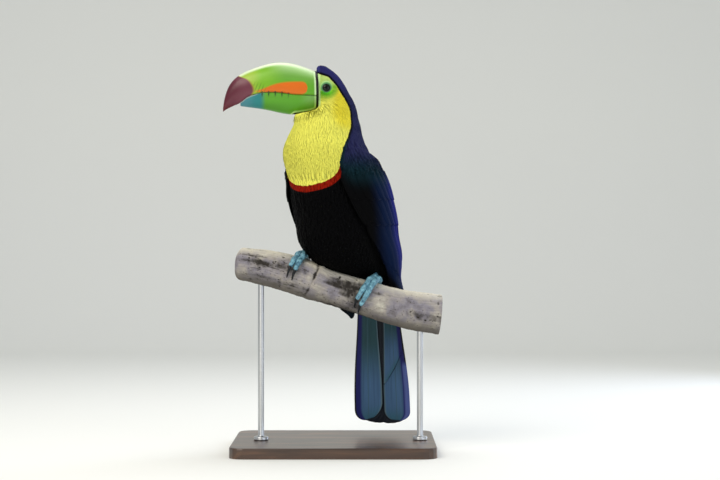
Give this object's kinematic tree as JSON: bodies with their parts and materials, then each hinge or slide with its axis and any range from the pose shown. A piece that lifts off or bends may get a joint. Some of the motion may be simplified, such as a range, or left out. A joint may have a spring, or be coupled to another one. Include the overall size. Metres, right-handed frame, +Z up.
{
  "type": "keel-billed toucan museum model",
  "caption": "Life-size still model of a keel-billed toucan gripping a cut branch that a plain base and rods hold up.",
  "frame": {"origin": "centre of the display stand's underside, on the surface that it stands on", "axes": "+Z up through the bird; the bill points to -X; the breast and the pictured side face -Y"},
  "size_m": [0.2516, 0.184, 0.4434],
  "materials": {
    "bib_plumage": "yellow feathers, matte",
    "black_plumage": "black feathers, soft sheen",
    "blue_black_plumage": "blue-black feathers, soft sheen",
    "tail_plumage": "slate blue feathers, soft sheen",
    "green_bill": "satin horn",
    "eye": "wet gloss",
    "blue_leg": "scaly skin",
    "claw": "satin horn",
    "bark": "rough bark",
    "stand_wood": "stained and satin varnished",
    "stand_steel": "brushed"
  },
  "bodies": {
    "root": {"head": "bib_plumage", "neck": "bib_plumage", "trunk": "black_plumage", "wing_left": "blue_black_plumage", "wing_right": "blue_black_plumage", "tail": "tail_plumage", "bill_upper": "green_bill", "bill_lower": "green_bill", "eye_left": "eye", "eye_right": "eye", "leg_left": "blue_leg", "leg_right": "blue_leg", "claw_outer_front_left": "claw", "claw_inner_front_left": "claw", "claw_outer_back_left": "claw", "claw_inner_back_left": "claw", "claw_outer_front_right": "claw", "claw_inner_front_right": "claw", "claw_outer_back_right": "claw", "claw_inner_back_right": "claw", "perch_branch": "bark", "stand_base": "stand_wood", "stand_rod_left": "stand_steel", "stand_rod_right": "stand_steel"}
  },
  "joints": []
}
